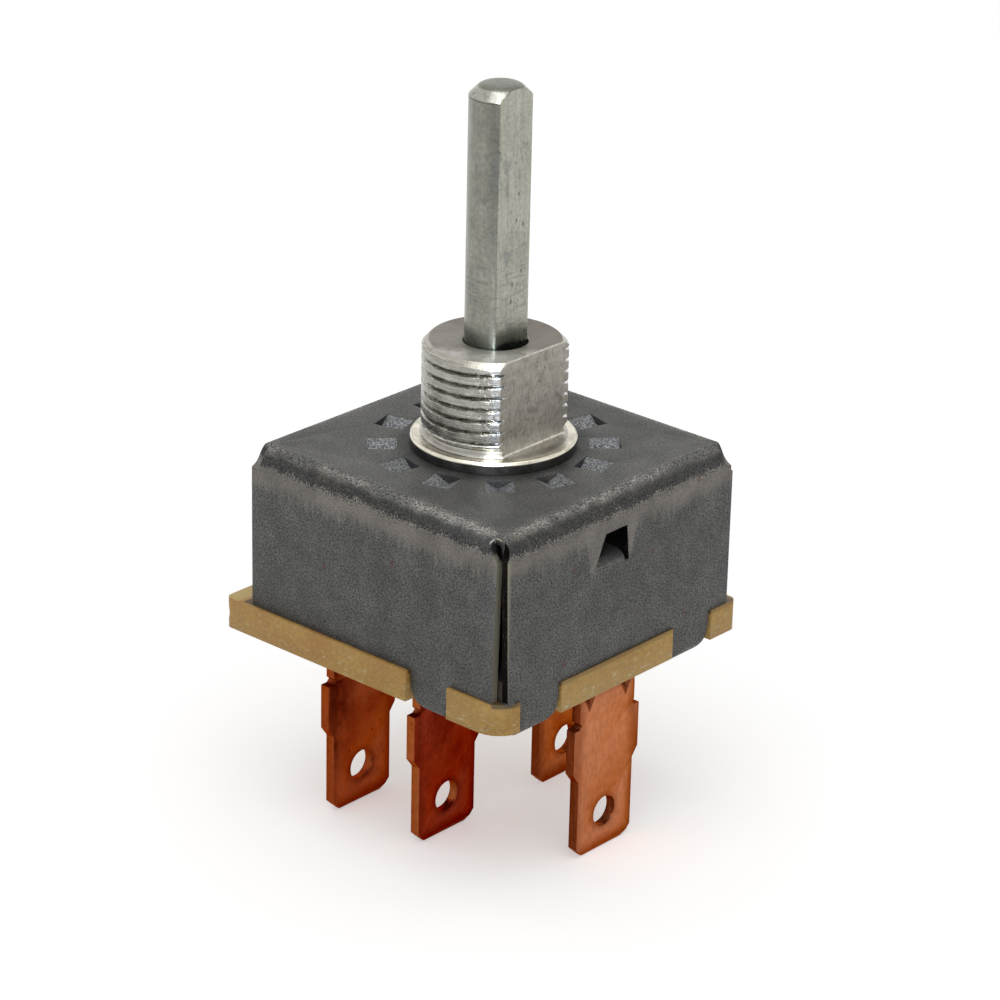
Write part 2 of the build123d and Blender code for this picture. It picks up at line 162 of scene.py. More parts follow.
def shaded(tree, colour, shade):
    """A colour made darker or lighter by a factor."""
    return mixed(tree, 1.0, colour, shade, "MULTIPLY")


def spread(tree, value, stops):
    """Colours spread along a value from 0 to 1."""
    made = add(tree, "ShaderNodeValToRGB", {0: value})
    ramp = made.color_ramp
    while len(ramp.elements) < len(stops):
        ramp.elements.new(0.5)
    for element, (place, colour) in zip(ramp.elements, stops):
        element.position = place
        element.color = colour
    return made.outputs[0]


def split(tree, vector):
    """The X, Y and Z of a vector."""
    return add(tree, "ShaderNodeSeparateXYZ", {0: vector}).outputs


def facing(tree):
    """The X, Y and Z of the direction that the surface faces."""
    return split(tree, add(tree, "ShaderNodeNewGeometry").outputs["Normal"])


def from_axis(tree, spot):
    """Distance from the shaft's axis."""
    level = add(tree, "ShaderNodeCombineXYZ", {0: spot[0], 1: spot[1]}).outputs[0]
    return add(tree, "ShaderNodeVectorMath", {0: level}, operation="LENGTH").outputs["Value"]


def new_group(name, inputs, outputs):
    """An empty node group with float inputs and outputs, and its two end nodes."""
    tree = bpy.data.node_groups.new(name, "ShaderNodeTree")
    for label, value in inputs.items():
        socket = tree.interface.new_socket(label, in_out="INPUT", socket_type="NodeSocketFloat")
        socket.default_value = value
    for label in outputs:
        tree.interface.new_socket(label, in_out="OUTPUT", socket_type="NodeSocketFloat")
    return tree, tree.nodes.new("NodeGroupInput").outputs, tree.nodes.new("NodeGroupOutput").inputs


def place_mm(tree, stretch=(1.0, 1.0, 1.0), turn=(0.0, 0.0, 0.0)):
    """Object coordinates in millimetres, turned and stretched."""
    where = add(tree, "ShaderNodeTexCoord").outputs["Object"]
    scale = tuple(value / mm for value in stretch)
    inputs = {"Vector": where, "Rotation": tuple(radians(angle) for angle in turn), "Scale": scale}
    return add(tree, "ShaderNodeMapping", inputs, vector_type="POINT").outputs[0]


def noise(tree, where, scale, detail, rough=0.5):
    """Cloudy noise around 0.5, with so many waves per millimetre."""
    inputs = {"Vector": where, "Scale": scale, "Detail": detail, "Roughness": rough}
    return add(tree, "ShaderNodeTexNoise", inputs).outputs[0]


def grain_group():
    """Fine and broad grain of a skin: two noises, with the fine one stretched along Z."""
    tree, given, made = new_group("skin_grain", {"Fine": 5.0, "Broad": 0.4}, ["Fine", "Broad"])
    tree.links.new(noise(tree, place_mm(tree, (1, 1, 0.6)), given["Fine"], 3.0, 0.6), made["Fine"])
    tree.links.new(noise(tree, place_mm(tree), given["Broad"], 3.0, 0.55), made["Broad"])
    return tree


def pits_group():
    """Scattered small pits: a mask that is 1 near a jittered cell's centre, in cells picked by chance."""
    inputs = {"Scale": 1.0, "Size": 0.15, "Rarity": 0.55}
    tree, given, made = new_group("scattered_pits", inputs, ["Mask"])
    where = place_mm(tree, (1, 1, 0.7))
    cells = add(tree, "ShaderNodeTexVoronoi", {"Vector": where, "Scale": given["Scale"]})
    near = calc(tree, "LESS_THAN", cells.outputs["Distance"], given["Size"])
    pick = add(tree, "ShaderNodeSeparateColor", {0: cells.outputs["Color"]}).outputs[0]
    chosen = calc(tree, "GREATER_THAN", pick, given["Rarity"])
    tree.links.new(times(tree, near, chosen), made["Mask"])
    return tree


def scratch_group():
    """Thin broken scratches: the narrow band where a stretched noise passes its middle value."""
    inputs = {"Along": 0.25, "Across": 2.5, "Width": 0.012, "Turn": 0.0}
    tree, given, made = new_group("thin_scratches", inputs, ["Mask"])
    where = add(tree, "ShaderNodeTexCoord").outputs["Object"]
    tilt = {"Vector": where, "Angle": given["Turn"], "Axis": (1, 1, 0)}
    tilted = add(tree, "ShaderNodeVectorRotate", tilt).outputs[0]
    across = times(tree, given["Across"], 1 / mm)
    along = times(tree, given["Along"], 1 / mm)
    size = add(tree, "ShaderNodeCombineXYZ", {0: across, 1: across, 2: along}).outputs[0]
    line = add(tree, "ShaderNodeVectorMath", {0: tilted, 1: size}, operation="MULTIPLY").outputs[0]
    wave = calc(tree, "ABSOLUTE", calc(tree, "SUBTRACT", noise(tree, line, 1.0, 2.0), 0.5))
    thin = calc(tree, "LESS_THAN", wave, given["Width"])
    gate = rise(tree, noise(tree, place_mm(tree), 0.45, 1.0), 0.52, 0.6)
    tree.links.new(times(tree, thin, gate), made["Mask"])
    return tree


skin_grain = grain_group()
scattered_pits = pits_group()
thin_scratches = scratch_group()


def use(tree, group, **inputs):
    """The outputs of a node group placed with its own values."""
    made = add(tree, "ShaderNodeGroup", node_tree=group)
    for label, value in inputs.items():
        made.inputs[label].default_value = value
    return made.outputs


def new_finish(name, **constants):
    """A material with one Principled shader, whose plain values are set on its own sockets."""
    finish = bpy.data.materials.new(name)
    finish.use_nodes = True
    shader = finish.node_tree.nodes["Principled BSDF"]
    for label, value in constants.items():
        shader.inputs[label.replace("_", " ")].default_value = value
    return finish, finish.node_tree, shader


def connect(tree, shader, colour, rough, metal, height, depth, strength):
    """Feeds the shader: colour, roughness, metal share if it varies, and a height with its depth in mm."""
    tree.links.new(colour, shader.inputs["Base Color"])
    tree.links.new(rough, shader.inputs["Roughness"])
    if metal is not None:
        tree.links.new(metal, shader.inputs["Metallic"])
    inputs = {"Height": height, "Distance": depth * mm, "Strength": strength}
    bump = add(tree, "ShaderNodeBump", inputs).outputs[0]
    tree.links.new(bump, shader.inputs["Normal"])


can_half = 13.3
can_top = 30.0
can_bend = 1.5
sheet = 0.6
inside = can_half - sheet
fold_foot = can_top - can_bend
window_low = 24.35
window_edge = (-0.1, 0.7)
tongue_half = 3.9
pocket_ring = (7.0, 10.2)
relief_centre = (12.05, -13.1, 29.2)
speckle_waves = 7.0

# Tones of the sheet by the distance in mm along it: top plate below 0, then the fold and the wall. On the
# fold they are painted light: a painted highlight on its upper curve and painted shade on its lower curve
sheet_tones_with_fold_shading = [
    (-3.0, (81, 80, 77)), (-0.3, (80, 79, 76)), (0.25, (95, 93, 89)), (0.65, (124, 122, 117)),
    (1.05, (96, 94, 90)), (1.32, (50, 48, 46)), (1.75, (45, 44, 42)), (2.1, (54, 52, 50)),
    (2.35, (112, 107, 101)), (3.2, (114, 108, 102)), (3.8, (98, 95, 90)), (4.4, (80, 80, 78)),
    (7.0, (78, 78, 76)),
]

# Both edges of each bare wedge beside the window: Y at the window's foot, and slope
wedge_edges = [((-3.85, -0.22), (-3.35, 0.30)), ((0.42, -0.06), (0.62, 0.24))]
wedge_blur = 0.12


def run_along(tree, spot, wander):
    """Distance along the sheet in mm: flat part, arc of the fold and wall, with a drift added."""
    side = largest(tree, calc(tree, "ABSOLUTE", spot[0]), calc(tree, "ABSOLUTE", spot[1]))
    out = calc(tree, "SUBTRACT", side, can_half - can_bend)
    up = calc(tree, "SUBTRACT", spot[2], fold_foot)
    turn = calc(tree, "ARCTAN2", largest(tree, out, 0.0), largest(tree, up, 0.0001))
    arc = times(tree, turn, can_bend)
    flat = calc(tree, "MINIMUM", out, 0.0)
    wall = largest(tree, times(tree, up, -1.0), 0.0)
    return calc(tree, "ADD", calc(tree, "ADD", arc, flat), calc(tree, "ADD", wall, wander))


def past_line(tree, spot, start, slope):
    """1 on the side towards +Y of a line on the +X wall, which starts at the window's foot."""
    lean = times(tree, calc(tree, "SUBTRACT", spot[2], window_low), slope)
    gap = calc(tree, "SUBTRACT", spot[1], calc(tree, "ADD", lean, start))
    return rise(tree, gap, -wedge_blur, wedge_blur)


def window_scuffs(tree, spot, ragged):
    """Bare wedges beside the window, scraped when the tongue was lanced: wide above, a point below."""
    left, right = [
        times(tree, past_line(tree, spot, *near), rest_of(tree, past_line(tree, spot, *far)))
        for near, far in wedge_edges
    ]
    height = calc(tree, "ADD", spot[2], times(tree, ragged, 1.2))
    reach = band(tree, height, (24.2, 24.9), (27.6, 28.1))
    on_wall = rise(tree, spot[0], inside - 0.3, inside + 0.1)
    return times(tree, calc(tree, "ADD", left, right), reach, on_wall)


def pocket_masks(tree, spot):
    """Distance from the axis, and masks of the pressed pockets: all their faces, and their upright ends,
    which take painted shade.
    """
    radius = from_axis(tree, spot)
    low, high = pocket_ring
    ring = band(tree, radius, (low, low + 0.1), (high, high + 0.1))
    sunk = band(tree, spot[2], (28.9, 29.0), (29.90, 29.97))
    faces = times(tree, ring, sunk)
    return radius, faces, times(tree, faces, fall(tree, facing(tree)[2], 0.2, 0.6))


def seam_paint(tree, colour, where, spot):
    """The front seam's paint and its cut edges: sheared ends painted near-black as dark rust deepened by
    painted shade, pale edges, the torn relief darkened as painted shade, and a painted highlight on its
    lip.
    """
    towards = facing(tree)
    sheared = fall(tree, towards[1], -0.75, -0.55)
    end_face = times(tree, sheared, rise(tree, spot[0], inside - 0.1, inside))
    at_seam = fall(tree, spot[1], -inside - 0.08, -inside)
    corner = times(tree, at_seam, rise(tree, spot[2], 16.9, 17.0))
    low, high = window_edge
    window = band(tree, spot[1], (low, low + 0.1), (high - 0.1, high))
    cut_edge_rust_and_shade = times(tree, end_face, largest(tree, corner, window))
    # Sheared ends painted near-black: dark rust, deepened as painted shade, with no shine
    colour = painted(tree, colour, cut_edge_rust_and_shade, (8, 5, 4), 0.97)
    inner_edge = times(
        tree, rise(tree, towards[0], 0.5, 0.8), fall(tree, spot[0], inside - 0.2, inside - 0.1),
        fall(tree, spot[1], -inside, -inside + 0.1),
        fall(tree, spot[2], fold_foot - 0.1, fold_foot + 0.1),
    )
    outer_edge = times(
        tree, fall(tree, spot[1], -inside - 0.35, -inside),
        rise(tree, spot[0], can_half - 0.1, can_half - 0.05),
        fall(tree, spot[2], fold_foot - 0.3, fold_foot + 0.1, 0.6),
    )
    edges = largest(tree, times(tree, inner_edge, 0.9), outer_edge)
    colour = painted(tree, colour, edges, (146, 141, 122))
    torn = add(tree, "ShaderNodeVectorMath", {0: where, 1: relief_centre}, operation="DISTANCE")
    torn = torn.outputs["Value"]
    # Painted shade in and round the torn relief hole
    colour = painted(tree, colour, fall(tree, torn, 0.38, 0.58, 0.92), (14, 9, 7))
    # A painted highlight on the relief hole's upper lip
    lip_highlight = times(tree, band(tree, torn, (0.56, 0.62), (0.66, 0.76)),
                rise(tree, spot[2], 29.2, 29.4), fall(tree, spot[0], 12.3, 12.4))
    return painted(tree, colour, lip_highlight, (186, 182, 168), 0.8), cut_edge_rust_and_shade


def can_finish():
    """Phosphate skin: tones along the sheet with painted highlight and shade on the fold; scuffs by the
    window; worn pockets, their ends in painted shade; painted shadow round the flange; painted shade on
    the tongue and at the seam; speckle, rust.
    """
    finish, tree, shader = new_finish("phosphated_sheet")
    where = place_mm(tree)
    spot = split(tree, where)
    speckle = noise(tree, where, speckle_waves, 1.0, 0.5)
    cloud = noise(tree, where, 0.45, 4.0, 0.6)
    ragged = drift(tree, noise(tree, place_mm(tree, (1, 1, 0.10)), 4.0, 2.0, 0.6), 1.0)
    wander = drift(tree, noise(tree, where, 0.7, 4.0, 0.65), 1.3)

    # Tones along the sheet with the fold's painted highlight and shade, ragged where the die rubbed the
    # wall, the painted highlight line broken off in places
    smooth_run = run_along(tree, spot, wander)
    streak = times(tree, ragged, rise(tree, smooth_run, 2.5, 4.2, 0.1, 3.4))
    grit = drift(tree, speckle, rise(tree, smooth_run, 0.0, 0.8))
    run = calc(tree, "ADD", calc(tree, "ADD", smooth_run, streak), grit)
    first, last = sheet_tones_with_fold_shading[0][0], sheet_tones_with_fold_shading[-1][0]
    share = add(tree, "ShaderNodeMapRange", {0: run, 1: first, 2: last}).outputs[0]
    stops = [((at - first) / (last - first), ink(*tone)) for at, tone in sheet_tones_with_fold_shading]
    colour = spread(tree, share, stops)
    fold_highlight_line = band(tree, run, (0.0, 0.4), (0.9, 1.2))
    highlight_gaps = fall(tree, noise(tree, where, 0.22, 2.0, 0.5), 0.40, 0.54, 0.85)
    colour = painted(tree, colour, times(tree, fold_highlight_line, highlight_gaps), (80, 79, 76))

    # Scuffs by the window, painted shadow round the flange, bare faces in the pockets and painted shade on
    # their upright ends
    scuff = window_scuffs(tree, spot, ragged)
    colour = painted(tree, colour, scuff, (116, 111, 104), 0.8)
    radius, pockets, ends = pocket_masks(tree, spot)
    # Painted shadow: the plate darkened round the flange
    colour = shaded(tree, colour, rise(tree, radius, 6.5, 8.6, 0.36))
    bare = rise(tree, speckle, 0.30, 0.70, 0.45, 0.80)
    colour = painted(tree, colour, times(tree, pockets, bare), (128, 130, 132))
    # Painted shade: the pockets' upright ends made dark
    colour = painted(tree, colour, ends, (26, 25, 24), 0.9)

    # Speckle: deeper on the folds, weaker on the flat top and where the skin is worn
    folded = band(tree, run, (-0.4, 0.4), (1.6, 2.4))
    deep = calc(tree, "ADD", 1.0, times(tree, folded, 0.7))
    deep = calc(tree, "SUBTRACT", deep, times(tree, rise(tree, spot[2], 29.5, 29.9), 0.45))
    worn = largest(tree, band(tree, run, (2.3, 2.6), (3.5, 4.2)), scuff)
    deep = times(tree, deep, rest_of(tree, worn, 0.65))
    grain = calc(tree, "ADD", 1.0, drift(tree, speckle, times(tree, deep, 3.8)))
    grain = largest(tree, grain, 0.25)
    colour = shaded(tree, colour, times(tree, grain, rise(tree, cloud, 0.3, 0.7, 0.80, 1.20)))
    warm = rise(tree, noise(tree, where, 0.9, 4.0, 0.65), 0.56, 0.72)
    colour = painted(tree, colour, warm, (96, 86, 70), 0.35)

    # The front seam, painted shade on the tongue's upper face, scratches and rust
    colour, cut_edge_rust_and_shade = seam_paint(tree, colour, where, spot)
    tongue_shade = times(
        tree, band(tree, spot[0], (10.0, 10.2), (13.18, 13.24)),
        band(tree, spot[2], (24.3, 24.5), (25.4, 25.5)),
        fall(tree, calc(tree, "ABSOLUTE", spot[1]), tongue_half - 0.1, tongue_half + 0.1),
    )
    colour = painted(tree, colour, tongue_shade, (40, 40, 38), 0.6)
    marks = use(tree, thin_scratches, Along=0.3, Across=2.2, Width=0.006, Turn=0.5)["Mask"]
    colour = painted(tree, colour, marks, (136, 134, 128), 0.22)
    rust = use(tree, scattered_pits, Scale=0.42, Size=0.075, Rarity=0.55)["Mask"]
    colour = painted(tree, colour, rust, (84, 44, 28), 0.7)
    rough = rise(tree, speckle, 0.3, 0.7, 0.66, 0.48)
    connect(tree, shader, colour, rough, largest(tree, cut_edge_rust_and_shade, 0.35), speckle, 0.04, 0.7)
    return finish


can = soften(welded_copy("housing", "can"), 0.10 * mm)
can.data.materials.append(can_finish())
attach(can, "case")
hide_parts("housing")


# Base: a tan moulding, brittle and dull, that closes the can from below. Its rim is notched for
# the crimp tabs and shows pale where it is scratched or chipped.
rim_top = 16.8


def base_finish():
    """Tan moulding: ochre to olive, pale wisps and scrapes low down, painted light on the rim's upper
    faces, a dark line of grime and painted contact shade by the can, painted shade in the can.
    """
    finish, tree, shader = new_finish("tan_moulding_skin", Metallic=0.0)
    where = place_mm(tree)
    spot = split(tree, where)
    cloud = noise(tree, where, 0.25, 3.0, 0.5)
    fine = noise(tree, where, 3.0, 3.0, 0.65)
    olive = rise(tree, calc(tree, "ADD", spot[0], times(tree, cloud, 12.0)), -6.0, 14.0)
    colour = mixed(tree, olive, ink(174, 128, 60), ink(170, 129, 58))
    colour = painted(tree, colour, rise(tree, cloud, 0.35, 0.65, 0.0, 0.6), (188, 152, 78))
    colour = shaded(tree, colour, rise(tree, fine, 0.3, 0.7, 0.84, 1.12))
    wisps = noise(tree, place_mm(tree, (0.8, 0.8, 2.0), (25, 20, 0)), 1.5, 3.0, 0.7)
    flaw = times(tree, rise(tree, wisps, 0.56, 0.68), fall(tree, spot[2], 14.8, 16.6, 1.0, 0.25))
    colour = painted(tree, colour, flaw, (222, 206, 158), 0.55)
    side = largest(tree, calc(tree, "ABSOLUTE", spot[0]), calc(tree, "ABSOLUTE", spot[1]))
    upper = rise(tree, spot[2], rim_top - 0.4, rim_top - 0.2)
    # A dark line along the can's foot: grime, with painted contact shade
    can_foot_shade_and_grime = times(tree, fall(tree, side, can_half + 0.08, can_half + 0.22), upper)
    colour = painted(tree, colour, can_foot_shade_and_grime, (60, 42, 22), 0.8)
    outside = rise(tree, side, can_half + 0.4, can_half + 0.5)
    # Painted light: the rim's upward faces outside the can made paler
    ledge_top_light = times(tree, rise(tree, facing(tree)[2], 0.4, 0.9), outside)
    colour = painted(tree, colour, ledge_top_light, (206, 180, 106), 0.6)
    # Painted shade on the base inside the can
    within = fall(tree, side, inside - 0.1, inside + 0.3)
    inside_shade = times(tree, within, rise(tree, spot[2], 16.5, 16.9))
    colour = painted(tree, colour, inside_shade, (38, 24, 14), 0.92)
    height = calc(tree, "SUBTRACT", fine, flaw)
    connect(tree, shader, colour, rise(tree, fine, 0.3, 0.7, 0.40, 0.55), None, height, 0.05, 0.7)
    return finish


base = soften(welded_copy("base", "moulded_base"), 0.14 * mm)
base.data.materials.append(base_finish())
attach(base, "case")
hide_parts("base")


# Bushing: turned from bright bar, with a swaged collar, a flange and a threaded barrel with one
# milled flat. The thread is cut before the flat, so each ridge ends in a small scallop there.
barrel_radius = 5.556
barrel_flat = 4.02
barrel_top = 38.46
flange_radius = 6.40
flange_top = 30.93
disc_radius = 5.10
flat_fillet = 0.20
thread_pitch = 0.907
thread_depth = 0.36
thread_low, thread_high = 31.75, 38.34
thread_rows = 170
lead_in = 0.45
top_bevel = 0.05
bore = 2.431
pole_gap = 0.0005 * mm
smooth_angle = radians(38)

# Shares of half a pitch: the crest up to the first, then the flank down to the root
crest_share = 0.58
flank_share = 0.38

# A distance in metres beyond every row, for rows and angles without the flat
far_off = 1.0


def turned(name, radius, height, angles, cut, corner):
    """Closed surface turned about the shaft's axis, with one flat on +X.

    Radius and height are given for each row and angle. The smaller of the radius and the flat's
    distance / cos(angle) holds, blended over a small corner.
    """
    grazing = 0.02
    towards = np.cos(angles)
    wall = np.where(towards > grazing, cut / np.maximum(towards, grazing), far_off)
    soft = np.clip(0.5 + 0.5 * (wall - radius) / corner, 0, 1)
    radius = wall + (radius - wall) * soft - corner * soft * (1 - soft)
    radius = np.maximum(radius, 0)
    count, span = radius.shape
    points = np.stack([radius * towards, radius * np.sin(angles), height], axis=2).reshape(-1, 3)
    row = np.arange(count - 1)[:, None] * span
    column = np.arange(span)[None, :]
    after = (column + 1) % span
    faces = np.stack([row + column, row + after, row + span + after, row + span + column], axis=2)
    mesh = bpy.data.meshes.new(name)
    mesh.from_pydata(points.tolist(), [], faces.reshape(-1, 4).tolist())
    shell = bmesh.new()
    shell.from_mesh(mesh)
    bmesh.ops.remove_doubles(shell, verts=shell.verts, dist=pole_gap)
    bmesh.ops.recalc_face_normals(shell, faces=shell.faces)
    shell.to_mesh(mesh)
    shell.free()
    mesh.polygons.foreach_set("use_smooth", [True] * len(mesh.polygons))
    mesh.set_sharp_from_angle(angle=smooth_angle)
    piece = bpy.data.objects.new(name, mesh)
    bpy.context.collection.objects.link(piece)
    return piece


def whole_turn(half):
    """Angles of a half turn and their mirror images, as one full turn."""
    return np.concatenate([half, (2 * pi - half[1:-1])[::-1]])


def all_round(profile, angles):
    """The radius and the height of a profile, repeated for each angle."""
    return [np.repeat(np.array(profile)[:, part:part + 1], len(angles), axis=1) for part in (0, 1)]


def bushing_angles():
    """Angles around the barrel, close together where the flat's two edges lie."""
    edge = np.arccos(barrel_flat / barrel_radius)
    near = np.linspace(edge - radians(11), edge + radians(2), 44)
    middle = np.linspace(0, near[0], 14)[:-1]
    rest = np.linspace(near[-1], pi, 70)[1:]
    return whole_turn(np.concatenate([middle, near, rest]))


def bushing_rows(angles):
    """Rows up the outside and back down the bore, with a helical groove on the thread's rows.

    The groove's depth is a smooth step of the distance from the nearest crest, whose place climbs
    by one pitch a turn. It fades out at both ends of the thread, and the top is led in at 45 degrees.
    """
    collar_low, collar_top, flange_low = 28.6, 29.4, 30.0
    outside = [
        (bore, collar_low), (5.6, collar_low), (5.6, collar_top), (4.6, collar_top),
        (4.6, flange_low), (6.35, flange_low), (flange_radius, 30.04), (flange_radius, 30.08),
        (flange_radius, 30.66), (flange_radius, 30.70), (6.37, 30.76), (6.24, 30.89),
        (6.19, flange_top), (5.43, flange_top), (5.36, 30.99), (5.33, 31.10), (5.30, 31.30),
        (5.26, 31.42), (5.30, 31.52), (5.40, 31.60), (5.42, 31.68),
    ]
    inner = [
        (5.15, barrel_top - top_bevel), (disc_radius, barrel_top), (3.8, barrel_top),
        (bore + 0.15, barrel_top), (bore, barrel_top - 0.15), (bore, 33.0), (bore, collar_low),
    ]
    levels = np.linspace(thread_low, thread_high, thread_rows)[:, None]
    turns = (levels - thread_low) / thread_pitch - angles / (2 * pi)
    part = np.abs(turns - np.round(turns)) * 2
    groove = np.clip((part - crest_share) / flank_share, 0, 1)
    groove = groove * groove * (3 - 2 * groove)
    enters = np.clip((levels - thread_low) / 0.5, 0, 1)
    leaves = np.clip((thread_high + 0.06 - levels) / 0.35, 0, 1)
    lead = barrel_radius - np.maximum(levels - (barrel_top - lead_in), 0)
    thread = np.minimum(barrel_radius - thread_depth * groove * enters * leaves, lead)
    low_radius, low_height = all_round(outside, angles)
    top_radius, top_height = all_round(inner, angles)
    radius = np.concatenate([low_radius, thread, top_radius])
    height = np.concatenate([low_height, levels + 0 * angles, top_height])
    return radius * mm, height * mm


def bushing_cut(heights):
    """Distance of the flat on each row: none on the flange, a small fillet above it, a bevel on top.

    The fillet adds the square of the share of its height that is still above the row.
    """
    foot_painted_light = np.clip(((flange_top + flat_fillet) * mm - heights) / (flat_fillet * mm), 0, 1)
    brim = heights > (barrel_top - top_bevel / 2) * mm
    cut = barrel_flat * mm + 0.15 * mm * foot_painted_light ** 2 - 1.2 * top_bevel * mm * brim
    return np.where(heights > (flange_top + 0.001) * mm, cut, far_off)


# Brightness over one pitch of the thread, as painted highlights and painted shade: the crest's worn line,
# a shoulder, the dark root, a shoulder
thread_light_and_shade = [
    (0.0, 0.62), (0.05, 1.05), (0.12, 0.76), (0.22, 0.98), (0.30, 0.62), (0.37, 1.50),
    (0.42, 0.80), (0.47, 0.34), (0.53, 0.34), (0.58, 0.70), (0.64, 1.40), (0.72, 0.96),
    (0.80, 0.70), (0.90, 1.08), (1.0, 0.62),
]

# Tones of the top face from one side to the other, a painted reflection: the tool's marks catch the room
# differently
disc_reflection_tones = [
    (0.0, (132, 126, 116)), (0.30, (116, 110, 100)), (0.44, (138, 140, 138)),
    (0.54, (134, 134, 129)), (0.66, (118, 112, 100)), (1.0, (110, 102, 88)),
]

# Level directions, seen from the front corner: from side to side, and towards the viewer, for the top
# face's painted reflection and highlight
across_way = (0.75, 0.66)
front_way = (0.66, -0.75)


def along(tree, spot, way):
    """Distance from the axis in a level direction."""
    return calc(tree, "ADD", times(tree, spot[0], way[0]), times(tree, spot[1], way[1]))


def bushing_finish():
    """Bright turned metal: tones of thread, flat, top and flange with painted highlights, shade and
    reflection, dirt, fine turning marks.
    """
    finish, tree, shader = new_finish(
        "bright_turned_metal", Metallic=1.0, Anisotropic=0.6, Anisotropic_Rotation=0.25)
    where = place_mm(tree)
    spot = split(tree, where)
    radius = from_axis(tree, spot)
    cloud = noise(tree, where, 0.6, 3.0, 0.55)
    fine = noise(tree, where, 4.0, 2.0, 0.6)
    stains = noise(tree, where, 1.1, 4.0, 0.7)
    marks = noise(tree, place_mm(tree, (0.5, 0.5, 14)), 1.0, 2.0, 0.6)

    # Tones of the flat, the flange with a painted highlight, the bevelled brim, and the top face, whose
    # tones are a painted reflection with a painted highlight in front
    colour = mixed(tree, rise(tree, cloud, 0.3, 0.7), ink(166, 164, 157), ink(194, 191, 182))
    flat_side = rise(tree, spot[0], barrel_flat - 0.09, barrel_flat - 0.03)
    on_flat = times(tree, flat_side, rise(tree, spot[2], 31.0, 31.1))
    colour = painted(tree, colour, on_flat, (170, 165, 155), 0.85)
    # A painted highlight on the flange's upper edge
    colour = painted(tree, colour, rise(tree, radius, 5.6, 5.7), (236, 230, 212))
    rim = (disc_radius - 0.1, disc_radius)
    led_in = rise(tree, spot[2], barrel_top - 0.46, barrel_top - 0.36)
    colour = painted(tree, colour, times(tree, rise(tree, radius, *rim), led_in), (182, 177, 166), 0.8)
    on_top = rise(tree, spot[2], barrel_top - 0.03, barrel_top - 0.01)
    disc = times(tree, on_top, fall(tree, radius, *rim))
    sweep = calc(tree, "ADD", along(tree, spot, across_way), times(tree, cloud, 1.6))
    stops = [(at, ink(*tone)) for at, tone in disc_reflection_tones]
    faced = spread(tree, rise(tree, sweep, -4.2, 5.8), stops)
    colour = mixed(tree, times(tree, disc, 0.95), colour, faced)
    front_highlight = times(tree, disc, rise(tree, along(tree, spot, front_way), 1.6, 3.2))
    colour = painted(tree, colour, front_highlight, (196, 194, 186), 0.9)

    # Turning marks, and the milled flat's stains and fine upright grain
    marks = times(tree, marks, rest_of(tree, on_flat, 0.15))
    colour = painted(tree, colour, rise(tree, marks, 0.35, 0.7, 0.0, 0.5), (118, 114, 106))
    dull = largest(tree, disc, on_flat)
    blotch = times(tree, dull, rise(tree, stains, 0.46, 0.66))
    colour = painted(tree, colour, blotch, (112, 98, 86), 0.30)
    milled = noise(tree, place_mm(tree, (3, 3, 0.9)), 1.8, 3.0, 0.7)
    milled = shaded(tree, colour, rise(tree, milled, 0.3, 0.7, 0.80, 1.16))
    colour = mixed(tree, on_flat, colour, milled)

    # The thread's painted light and shade follows its helix, with a strip beside the flat painted pale:
    # burnish, and a painted streak highlight
    threaded = times(
        tree, band(tree, spot[2], (31.5, 31.8), (38.1, 38.3)),
        rest_of(tree, flat_side), rise(tree, radius, 4.9, 5.0),
    )
    about = calc(tree, "DIVIDE", calc(tree, "ARCTAN2", spot[1], spot[0]), 2 * pi)
    climb = calc(tree, "DIVIDE", calc(tree, "SUBTRACT", spot[2], thread_low), thread_pitch)
    jitter = drift(tree, noise(tree, where, 1.5, 4.0, 0.7), 0.36)
    phase = calc(tree, "FRACT", calc(tree, "ADD", calc(tree, "SUBTRACT", climb, about), jitter))
    thread_shading = spread(tree, phase, [(at, (tone, tone, tone, 1.0)) for at, tone in thread_light_and_shade])
    burnish_and_streak = times(tree, rise(tree, spot[0], 3.25, 3.75), threaded)
    colour = painted(tree, colour, burnish_and_streak, (236, 242, 250), 0.4)
    colour = mixed(tree, threaded, colour, shaded(tree, colour, thread_shading))

    # Painted shade on the flange's side, stains, specks of dirt, a pale burr and a painted highlight at
    # the flat's ends, painted glints by the flat
    # Painted shade: the flange's side made dark
    side = times(tree, rise(tree, radius, flange_radius - 0.06, flange_radius - 0.02),
                 fall(tree, spot[2], 30.70, 30.78))
    colour = painted(tree, colour, side, (82, 82, 80))
    colour = painted(tree, colour, rise(tree, stains, 0.56, 0.74, 0.0, 0.5), (98, 88, 76))
    dirt = use(tree, scattered_pits, Scale=1.5, Size=0.10, Rarity=0.72)["Mask"]
    colour = painted(tree, colour, dirt, (52, 44, 38), 0.65)
    # A pale burr on the flat's top edge, and a painted highlight along the fillet at its foot
    foot_painted_light = band(tree, spot[2], (flange_top + 0.01, flange_top + 0.03), (31.06, 31.12))
    ends = calc(tree, "ADD", rise(tree, spot[2], 38.32, 38.38), foot_painted_light)
    burr_and_fillet_highlight = times(tree, flat_side, ends, rise(tree, fine, 0.35, 0.55, 0.3, 1.0))
    colour = painted(tree, colour, burr_and_fillet_highlight, (222, 218, 206), 0.8)
    glints = times(tree, rise(tree, noise(tree, where, 3.4, 2.0, 0.6), 0.56, 0.64), threaded,
                   rise(tree, spot[0], 1.5, 3.6, 0.12, 0.60))
    colour = painted(tree, colour, glints, (244, 244, 244))
    rough = calc(tree, "ADD", rise(tree, cloud, 0.3, 0.7, 0.20, 0.32), times(tree, dull, 0.14))
    height = calc(tree, "ADD", times(tree, marks, 0.8), calc(tree, "SUBTRACT", fine, dirt))
    connect(tree, shader, colour, rough, rest_of(tree, dull, 0.3), height, 0.02, 0.6)
    return finish


